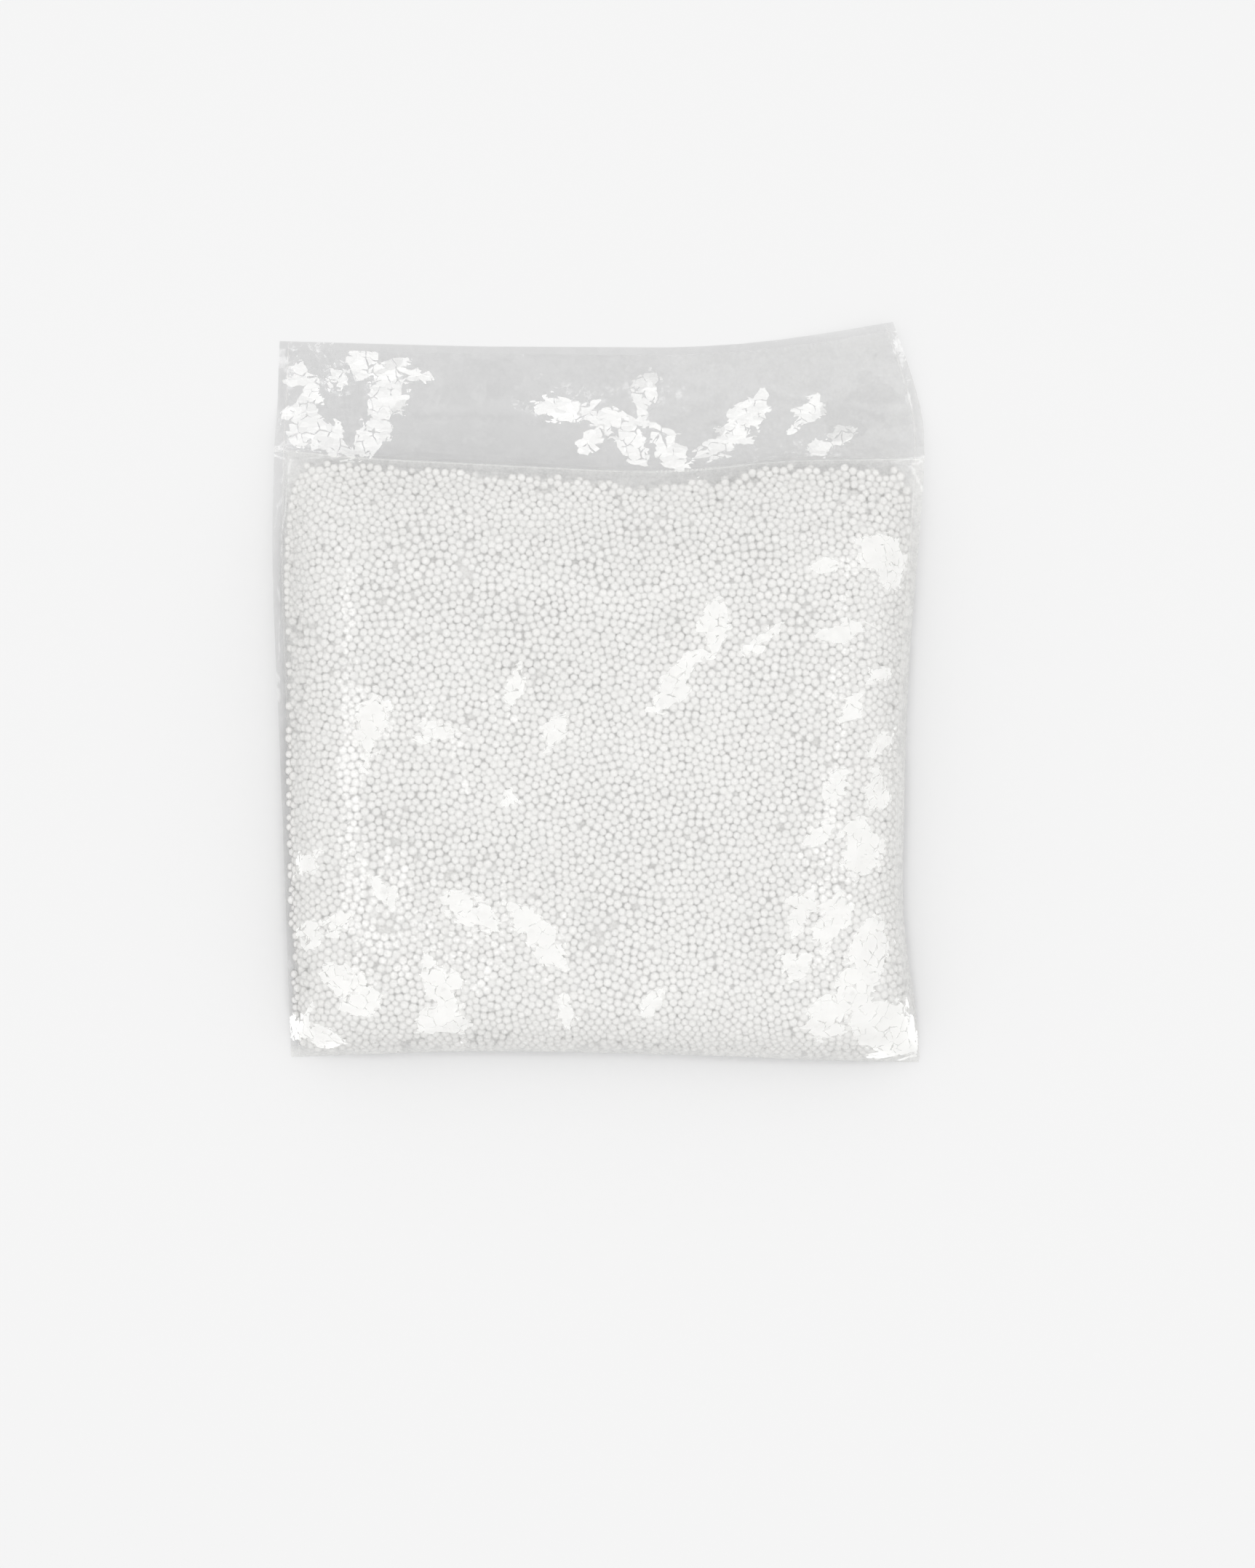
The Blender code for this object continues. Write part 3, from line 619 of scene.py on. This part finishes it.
def crackle(tree, place):
    """The bump of creases too fine for the mesh: flat facets that tip at random."""
    height = 0.0
    for size, tip in CRACKLE:
        cell = add_node(tree, "ShaderNodeTexVoronoi", {"Vector": place, "Scale": 1 / size}).outputs
        off = vector_node(tree, "SUBTRACT", place, cell["Position"])
        lean = vector_node(tree, "SUBTRACT", cell["Color"], (0.5, 0.5, 0.5))
        facet = vector_node(tree, "DOT_PRODUCT", off, lean, output="Value")
        height = math_node(tree, "MULTIPLY_ADD", facet, tip, height)
    height = math_node(tree, "MULTIPLY", height, named(tree, "unrest"))
    return add_node(tree, "ShaderNodeBump", {"Height": height, "Distance": 1.0, "Strength": 1.0}).outputs[0]


def shards(tree, place):
    """1 within the shining creases' torn outlines but 0 on their cracks, and each facet's lightness."""
    stretched = {"Vector": place, "Rotation": (0, 0, -SHARD_TURN), "Scale": (SHARD_STRETCH, 1, 1)}
    stretched = add_node(tree, "ShaderNodeMapping", stretched).outputs[0]
    inside, lightness = named(tree, "inside"), 0.0
    for size, stray in SHARDS:
        cell = add_node(tree, "ShaderNodeTexVoronoi", {"Vector": stretched, "Scale": 1 / size})
        chance = add_node(tree, "ShaderNodeSeparateColor", {0: cell.outputs["Color"]}).outputs
        inside = math_node(tree, "MULTIPLY_ADD", math_node(tree, "SUBTRACT", chance[0], 0.5), stray, inside)
        lightness = math_node(tree, "MULTIPLY_ADD", chance[1], 1 / len(SHARDS), lightness)
    whole = math_node(tree, "GREATER_THAN", inside, OUTLINE_AT)
    wander = {"Vector": place, "Scale": 1 / WANDER_SIZE, "Detail": 2.0}
    wander = add_node(tree, "ShaderNodeTexNoise", wander).outputs["Color"]
    wander = vector_node(tree, "MULTIPLY_ADD", wander, (CRACK_WANDER, CRACK_WANDER, 0.0), place)
    crack = {"Vector": wander, "Scale": 1 / CRACK_SPACING}
    crack = add_node(tree, "ShaderNodeTexVoronoi", crack, feature="DISTANCE_TO_EDGE").outputs["Distance"]
    width = {"Vector": place, "Scale": 1 / WIDTH_SIZE, "Detail": 1.0}
    width = add_node(tree, "ShaderNodeTexNoise", width).outputs["Fac"]
    width = span_node(tree, width, CRACKED_SPAN, (0.0, CRACK_WIDTH))
    whole = math_node(tree, "MULTIPLY", whole, math_node(tree, "GREATER_THAN", crack, width))
    return whole, span_node(tree, lightness, (0.0, 1.0), SHARD_LIGHTNESS)


def crazing(tree, place, painted_highlight):
    """How white the film is: by crazing, by a painted highlight in the shining creases, and on its welds,
    its seal and its tooth marks, whose white is a painted glint.
    """
    grain = {"Vector": place, "Scale": 1 / GRAIN_SIZE, "Detail": 3.0}
    grain = add_node(tree, "ShaderNodeTexNoise", grain).outputs["Fac"]
    grain = span_node(tree, grain, GRAIN_SPAN, GRAIN_LEVELS)
    crazed_and_painted_white = math_node(tree, "MULTIPLY", named(tree, "haze_and_painted_highlight"), grain)
    seal = line_at(tree, named(tree, "from_seal"), 0.0, SEAL_HALF)
    weld = line_at(tree, named(tree, "from_side"), WELD_FROM_SIDE, WELD_HALF)
    # The shining creases get painted white: a painted highlight over their real shine
    crazed_and_painted_white = math_node(tree, "MULTIPLY_ADD", painted_highlight, SHARD_PAINTED_HIGHLIGHT, crazed_and_painted_white)
    crazed_and_painted_white = math_node(tree, "MULTIPLY_ADD", seal, SEAL_HAZE, crazed_and_painted_white)
    crazed_and_painted_white = math_node(tree, "MULTIPLY_ADD", weld, WELD_HAZE, crazed_and_painted_white)
    # The tooth marks: white dots along the seal, a painted glint
    x = add_node(tree, "ShaderNodeSeparateXYZ", {0: place}).outputs[0]
    middle, reach = sum(TOOTH_MARKS) / 2, (TOOTH_MARKS[1] - TOOTH_MARKS[0]) / 2
    off = math_node(tree, "ABSOLUTE", math_node(tree, "SUBTRACT", x, middle))
    here = math_node(tree, "LESS_THAN", off, reach)
    tooth = math_node(tree, "SINE", math_node(tree, "MULTIPLY", x, 2 * math.pi / TOOTH_PITCH))
    tooth = math_node(tree, "MULTIPLY", math_node(tree, "GREATER_THAN", tooth, TOOTH_EDGE), here)
    tooth = math_node(tree, "MULTIPLY", tooth, seal)
    return math_node(tree, "MULTIPLY_ADD", tooth, TOOTH_PAINTED_GLINT, crazed_and_painted_white)


def clear_film(name, tint, creases_shine):
    """Film that lets its tint through where it isn't crazed, and shines more the more it leans away."""
    made, tree, output = new_material(name)
    place = add_node(tree, "ShaderNodeTexCoord").outputs["Object"]
    normal, strength, painted_highlight = crackle(tree, place), CALM_SHINE, 0.0
    if creases_shine:
        shard, lightness = shards(tree, place)
        facing = {0: named(tree, "facing", "Vector")}
        facing = add_node(tree, "ShaderNodeVectorTransform", facing, vector_type="NORMAL").outputs[0]
        normal = {0: shard, 4: normal, 5: facing}
        normal = add_node(tree, "ShaderNodeMix", normal, data_type="VECTOR").outputs[1]
        gleam = math_node(tree, "MULTIPLY", lightness, FILM_SHINE)
        gleam = math_node(tree, "MULTIPLY", gleam, named(tree, "gleam"))
        # Within a shining crease the film is also painted white: a painted highlight
        painted_highlight = math_node(tree, "MULTIPLY", shard, lightness)
        strength = {0: shard, 2: CALM_SHINE, 3: gleam}
        strength = add_node(tree, "ShaderNodeMix", strength, data_type="FLOAT").outputs[0]
    clear = add_node(tree, "ShaderNodeBsdfTransparent", {"Color": linear(tint)}).outputs[0]
    white = add_node(tree, "ShaderNodeBsdfDiffuse", {"Color": linear(CRAZED_WHITE)}).outputs[0]
    through = add_node(tree, "ShaderNodeBsdfTranslucent", {"Color": linear(CRAZED_WHITE)}).outputs[0]
    white = mixed_node(tree, CRAZING_THROUGH, white, through)
    body = mixed_node(tree, crazing(tree, place, painted_highlight), clear, white)
    finish = {"Color": (1, 1, 1, 1), "Roughness": FILM_ROUGHNESS, "Normal": normal}
    gloss = add_node(tree, "ShaderNodeBsdfGlossy", finish).outputs[0]
    steep = add_node(tree, "ShaderNodeLayerWeight", {"Blend": 0.5}).outputs["Facing"]
    shine = {0: math_node(tree, "POWER", steep, SHINE_POWER), 2: strength, 3: 1.0}
    shine = add_node(tree, "ShaderNodeMix", shine, data_type="FLOAT").outputs[0]
    film = mixed_node(tree, shine, body, gloss)
    # The light that falls through it needs only its tint
    ray = add_node(tree, "ShaderNodeLightPath").outputs
    falling = math_node(tree, "MAXIMUM", ray["Is Shadow Ray"], ray["Is Diffuse Ray"])
    lit = [LIGHT_PASSED * part for part in linear(tint)[:3]]
    lit = add_node(tree, "ShaderNodeBsdfTransparent", {"Color": (*lit, 1.0)}).outputs[0]
    tree.links.new(mixed_node(tree, falling, film, lit), output.inputs["Surface"])
    return made


for wall, name, tint, creases_shine in (
    (film_front, "clear_polythene_film", FRONT_TINT, True),
    (film_back, "clear_polythene_film_back", BACK_TINT_AND_PAINTED_SHADE, False),
):
    wall.data.materials.append(clear_film(name, tint, creases_shine))
    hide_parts("bag_film")
    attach(wall, "root")

# The beads
# Thousands of beads of expanded polystyrene, blown to about 3 mm. They are poured in, pack at random and
# press against the film. Only the layers that can be seen through it are made: two under the front wall,
# and one on the back wall, round a core of the same foam.

BEAD_RADIUS = 0.0017
# Soft beads squash where they touch, so they lie closer than two round ones would
SQUASH = 0.92
# How far their radii spread, and how many standard deviations make up that spread
BEAD_SPREAD = 0.12
SPREAD_DEVIATIONS = 1.5
# The walls' heights are taken on a raster of this pitch
RASTER = 0.001
FILM_CLEARANCE = 0.00015
# Each layer's share of the wall's area, and the least and greatest depth of its beads, in bead radii
TOP_LAYER = (0.93, 0.0, 0.55)
UNDER_LAYER = (0.80, 1.20, 1.80)
BACK_LAYER = (0.84, 0.0, 0.4)
# The beads are pushed apart in passes, each time by this share of their overlap. Which of them are
# neighbours, by the distance between their centres, is found anew every few passes.
RELAX_PASSES = 90
PUSH_SHARE = 0.45
SEARCH_EVERY = 8
PAIR_REACH = 1.35 * 2 * SQUASH * BEAD_RADIUS
TOUCHING = 1e-6
# The steepest slope of a wall that counts, and how many more beads a steep wall gets for its raster cells
STEEPEST = 2.5
MOST_PER_AREA = 1.35
# The least slope of the gap between the walls that a bead runs back along
LEAST_TAPER = 0.05
# How far past the seams a bead's centre may lie, in bead radii
PAST_SEAM = 0.2
# Two beads nearer than this share of their two radii are one too many
LEAST_APART = 0.70
# The back layer ends where it would touch the front ones, in bead radii under them
BACK_CLEARANCE = 1.5
# Where there is no wall, and beyond the heap, the walls cross
NO_CEILING, NO_FLOOR, NO_GAP = -0.02, 0.05, -0.002
# The heap's upper edge is ragged: how far it lies above the part's heap on average, and the height, size
# and start of its waves
RAGGED_BY = 0.0006
RAGGED_WAVES = [(0.0011, 0.0049, 1), (0.0007, 0.0018, 0)]

heap_points, heap_edges = mesh_arrays(heap_cad.data)
raster_x = np.arange(cad_low.x, cad_high.x + RASTER, RASTER)
raster_y = np.arange(cad_low.y, cad_high.y + RASTER, RASTER)
heap_x = np.linspace(heap_points[:, 0].min() + RASTER, heap_points[:, 0].max() - RASTER, SLICES)
heap_top = reach_across(heap_points, heap_edges, 0, heap_x)[1]


def raster_of(surface, up, missing):
    """A wall's heights on an even raster."""
    heights = np.full((len(raster_y), len(raster_x)), missing)
    for j, y in enumerate(raster_y):
        for i, x in enumerate(raster_x):
            start = Vector((x, y, FAR_BELOW if up else FAR_ABOVE))
            hit = surface.ray_cast(start, Vector((0, 0, 1 if up else -1)))[0]
            if hit:
                heights[j, i] = hit.z
    return heights


def inset(heights, radius):
    """The highest that a ball's centre may lie under a wall with these heights."""
    reach = int(radius / RASTER) + 1
    rows, columns = heights.shape
    lowest = np.full(heights.shape, np.inf)
    padded = np.pad(heights, reach, mode="edge")
    for dj in range(-reach, reach + 1):
        for di in range(-reach, reach + 1):
            off = (dj * dj + di * di) * RASTER**2
            if off <= radius**2:
                part = padded[reach + dj : reach + dj + rows, reach + di : reach + di + columns]
                lowest = np.minimum(lowest, part - math.sqrt(radius**2 - off))
    return lowest


def sampled(raster, points):
    """The raster's value at each point, between its four nearest cells."""
    fx = np.clip((points[:, 0] - raster_x[0]) / RASTER, 0, len(raster_x) - 1.001)
    fy = np.clip((points[:, 1] - raster_y[0]) / RASTER, 0, len(raster_y) - 1.001)
    i, j = fx.astype(int), fy.astype(int)
    tx, ty = fx - i, fy - j
    low = raster[j, i] * (1 - tx) + raster[j, i + 1] * tx
    high = raster[j + 1, i] * (1 - tx) + raster[j + 1, i + 1] * tx
    return low * (1 - ty) + high * ty


ceiling = inset(raster_of(front_surface, False, NO_CEILING), BEAD_RADIUS + FILM_CLEARANCE)
floor = -inset(-raster_of(back_surface, True, NO_FLOOR), BEAD_RADIUS + FILM_CLEARANCE)
ragged = RAGGED_BY
for height, size, start in RAGGED_WAVES:
    ragged = ragged + height * np.sin(raster_x / size + start)
beyond_heap = raster_y[:, None] > (np.interp(raster_x, heap_x, heap_top) + ragged)[None, :]
# The beads pack among the part's own single beads, which stay where they are
single = [node for name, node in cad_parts.items() if name.startswith("bead_") and name != "bead_heap"]
loose = np.array([mesh_arrays(node.data)[0].mean(0) for node in single])
gap = ceiling - floor
gap[beyond_heap] = np.minimum(gap, NO_GAP)[beyond_heap]
slope_y, slope_x = np.gradient(gap, RASTER)


def close_pairs(points, reach):
    """Every two beads nearer than this, as two lists of numbers."""
    tree = KDTree(len(points))
    for k, point in enumerate(points):
        tree.insert(point, k)
    tree.balance()
    near = ((k, other) for k, point in enumerate(points) for _, other, _ in tree.find_range(point, reach))
    return np.array([pair for pair in near if pair[1] > pair[0]]).T


def packed(layers, wall, inwards, seed):
    """Beads strewn along a wall in layers and pushed apart: centres, radii and which lie on top."""
    chance = np.random.default_rng(seed)
    lean_y, lean_x = (np.clip(lean, -STEEPEST, STEEPEST) for lean in np.gradient(wall, RASTER))
    length = np.sqrt(1 + lean_x**2 + lean_y**2)
    strewn, nearest, farthest = [], [], []
    for share, near, far in layers:
        roomy = gap > near * BEAD_RADIUS * length
        weight = np.where(roomy, np.minimum(length, MOST_PER_AREA), 0.0).ravel()
        count = int(share * weight.sum() * RASTER**2 / (math.pi * (SQUASH * BEAD_RADIUS) ** 2))
        j, i = np.divmod(chance.choice(weight.size, count, p=weight / weight.sum()), len(raster_x))
        within_cell = chance.uniform(-0.5, 0.5, (count, 2)) * RASTER
        strewn.append(np.stack([raster_x[i], raster_y[j]], -1) + within_cell)
        nearest += [near * BEAD_RADIUS] * count
        farthest += [far * BEAD_RADIUS] * count
    count = len(nearest)
    points = np.column_stack([np.vstack(strewn), np.zeros(count)])
    points[:, 2] = sampled(wall, points)
    points[:, 2] += inwards * chance.uniform(nearest, farthest) * sampled(length, points)
    spread = np.clip(chance.normal(size=count) / SPREAD_DEVIATIONS, -1, 1)
    radii = SQUASH * BEAD_RADIUS * (1 + BEAD_SPREAD * spread)
    points, radii = np.vstack([points, loose]), np.append(radii, np.full(len(loose), BEAD_RADIUS))
    nearest, farthest = (np.append(limit, np.zeros(len(loose))) for limit in (nearest, farthest))
    count += len(loose)
    for turn in range(RELAX_PASSES):
        if turn % SEARCH_EVERY == 0:
            first, second = close_pairs(points, PAIR_REACH)
        apart = points[first] - points[second]
        distance = np.maximum(np.linalg.norm(apart, axis=1), TOUCHING)
        overlap = np.maximum(radii[first] + radii[second] - distance, 0)
        push = apart * (PUSH_SHARE * overlap / distance)[:, None]
        for axis in range(3):
            back = np.bincount(second, push[:, axis], count)
            points[:, axis] += np.bincount(first, push[:, axis], count) - back
        # Beads that left their layer go back along the wall's normal
        steep = sampled(length, points)
        normal = np.stack([-sampled(lean_x, points), -sampled(lean_y, points), np.ones(count)], -1)
        normal = normal / steep[:, None]
        depth = (points[:, 2] - sampled(wall, points)) * inwards / steep
        points += normal * (inwards * (np.clip(depth, nearest, farthest) - depth))[:, None]
        # Beads that were pushed out past the seams go back in
        short = sampled(gap, points) - nearest
        tilt = np.stack([sampled(slope_x, points), sampled(slope_y, points)], -1)
        back_in = np.clip(-short / np.maximum((tilt**2).sum(1), LEAST_TAPER), 0, RASTER)
        back_in = np.where(short < 0, back_in, 0)
        points[:, :2] += tilt * back_in[:, None]
        high, low = sampled(ceiling, points), sampled(floor, points)
        points[:, 2] = np.where(high < low, (high + low) / 2, np.clip(points[:, 2], low, high))
        points[-len(loose) :] = loose
    kept = sampled(gap, points) > -PAST_SEAM * BEAD_RADIUS
    kept[-len(loose) :] = True
    # Where beads still share a place, the one farther from the wall goes
    first, second = close_pairs(points, 2 * SQUASH * BEAD_RADIUS)
    distance = np.linalg.norm(points[first] - points[second], axis=1)
    order = np.argsort(distance - radii[first] - radii[second])
    away = np.abs(points[:, 2] - sampled(wall, points))
    away[-len(loose) :] = -1
    for a, b in zip(first[order], second[order]):
        if kept[a] and kept[b] and math.dist(points[a], points[b]) < LEAST_APART * (radii[a] + radii[b]):
            kept[a if away[a] > away[b] else b] = False
    kept[-len(loose) :] = False
    return points[kept], radii[kept] / SQUASH, nearest[kept] == 0


front_beads, front_radii, on_top = packed([TOP_LAYER, UNDER_LAYER], ceiling, -1, seed=5)
back_beads, back_radii, _ = packed([BACK_LAYER], floor, 1, seed=8)
clear_of_front = sampled(gap, back_beads) > (UNDER_LAYER[2] + BACK_CLEARANCE) * BEAD_RADIUS
back_beads, back_radii = back_beads[clear_of_front], back_radii[clear_of_front]


def ball(subdivisions):
    """The points and faces of a round bead of unit radius."""
    bpy.ops.object.select_all(action="DESELECT")
    bpy.ops.mesh.primitive_ico_sphere_add(subdivisions=subdivisions, radius=1)
    made = bpy.context.object
    points = np.array([v.co for v in made.data.vertices])
    faces = np.array([p.vertices for p in made.data.polygons])
    bpy.data.objects.remove(made)
    return points, faces


round_bead, plain_bead = ball(2), ball(1)

# Expanded polystyrene: white foam with a faint sheen from its closed cells, each bead a little lighter or
# darker than the next
FOAM_LIGHT = "#fcfbf9"
FOAM_DARK = "#f4f3f1"
FOAM_ROUGHNESS, FOAM_IOR = 0.5, 1.4
# Light goes a little way into the foam and comes out spread, so that a bead looks flatter than it is
FOAM_FLATNESS = 0.92
# How far a bead is out of round: its least and greatest half width next to its radius
OUT_OF_ROUND = (0.96, 1.03)
# The beads on top go into this many objects, from the bottom of the bag to its top
TOP_GROUPS = 4
foam, tree, output = new_material("expanded_polystyrene")
shade = {0: named(tree, "tone"), 6: linear(FOAM_DARK), 7: linear(FOAM_LIGHT)}
shade = add_node(tree, "ShaderNodeMix", shade, data_type="RGBA").outputs[2]
bead = add_node(tree, "ShaderNodeNewGeometry").outputs
softer = {0: FOAM_FLATNESS, 4: bead["Normal"], 5: bead["Incoming"]}
softer = add_node(tree, "ShaderNodeMix", softer, data_type="VECTOR").outputs[1]
softer = vector_node(tree, "NORMALIZE", softer)
finish = {"Base Color": shade, "Roughness": FOAM_ROUGHNESS, "IOR": FOAM_IOR, "Normal": softer}
skin = add_node(tree, "ShaderNodeBsdfPrincipled", finish)
tree.links.new(skin.outputs[0], output.inputs["Surface"])


def bead_group(name, shape, points, radii, seed):
    """One object of many beads, each a little out of round."""
    chance = np.random.default_rng(seed)
    ball_points, ball_faces = shape
    count = len(points)
    sizes = radii[:, None] * chance.uniform(*OUT_OF_ROUND, (count, 3))
    verts = (ball_points[None] * sizes[:, None, :] + points[:, None, :]).reshape(-1, 3)
    faces = (ball_faces[None] + (np.arange(count) * len(ball_points))[:, None, None]).reshape(-1, 3)
    mesh = bpy.data.meshes.new(name)
    mesh.vertices.add(len(verts))
    mesh.vertices.foreach_set("co", verts.ravel())
    mesh.loops.add(faces.size)
    mesh.loops.foreach_set("vertex_index", faces.ravel().astype(np.int32))
    mesh.polygons.add(len(faces))
    mesh.polygons.foreach_set("loop_start", np.arange(0, faces.size, 3, dtype=np.int32))
    mesh.update(calc_edges=True)
    set_attribute(mesh, "tone", "FLOAT", np.repeat(chance.random(count), len(ball_points)))
    mesh.shade_smooth()
    mesh.materials.append(foam)
    made = bpy.data.objects.new(name, mesh)
    scene.collection.objects.link(made)
    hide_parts("bead_heap")
    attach(made, "root")


top_order = np.argsort(front_beads[on_top, 1])
top_beads, top_radii = front_beads[on_top], front_radii[on_top]
for k, part in enumerate(np.array_split(top_order, TOP_GROUPS)):
    bead_group(f"top_beads_{k + 1}", round_bead, top_beads[part], top_radii[part], seed=40 + k)
bead_group("under_beads", plain_bead, front_beads[~on_top], front_radii[~on_top], seed=50)
bead_group("back_beads", plain_bead, back_beads, back_radii, seed=51)

# The core of the heap, shrunk from the part's own heap so that it stays under the beads: how far, and how
# deep under the film its upper side lies
CORE_INSET = 0.0046
CORE_DEPTH = 0.0036
WELDED = 1e-5
bpy.ops.object.select_all(action="DESELECT")
core = bpy.data.objects.new("heap_core", heap_cad.data.copy())
scene.collection.objects.link(core)
core.select_set(True)
bpy.context.view_layer.objects.active = core
bpy.ops.object.mode_set(mode="EDIT")
bpy.ops.mesh.select_all(action="SELECT")
bpy.ops.mesh.remove_doubles(threshold=WELDED)
bpy.ops.transform.shrink_fatten(value=-CORE_INSET)
bpy.ops.object.mode_set(mode="OBJECT")
core_points, _ = mesh_arrays(core.data)
upper = core_points[:, 2] > (sampled(ceiling, core_points) + sampled(floor, core_points)) / 2
raised = sampled(ceiling, core_points) + BEAD_RADIUS - CORE_DEPTH
core_points[:, 2] = np.where(upper, np.maximum(core_points[:, 2], raised), core_points[:, 2])
core.data.vertices.foreach_set("co", core_points.ravel())
core.data.update()
core.data.materials.clear()
core.data.materials.append(foam)
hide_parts("bead_heap")
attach(core, "root")

# The single beads at the heap's edge are the part's own
for node in single:
    for slot in node.material_slots:
        slot.material = foam
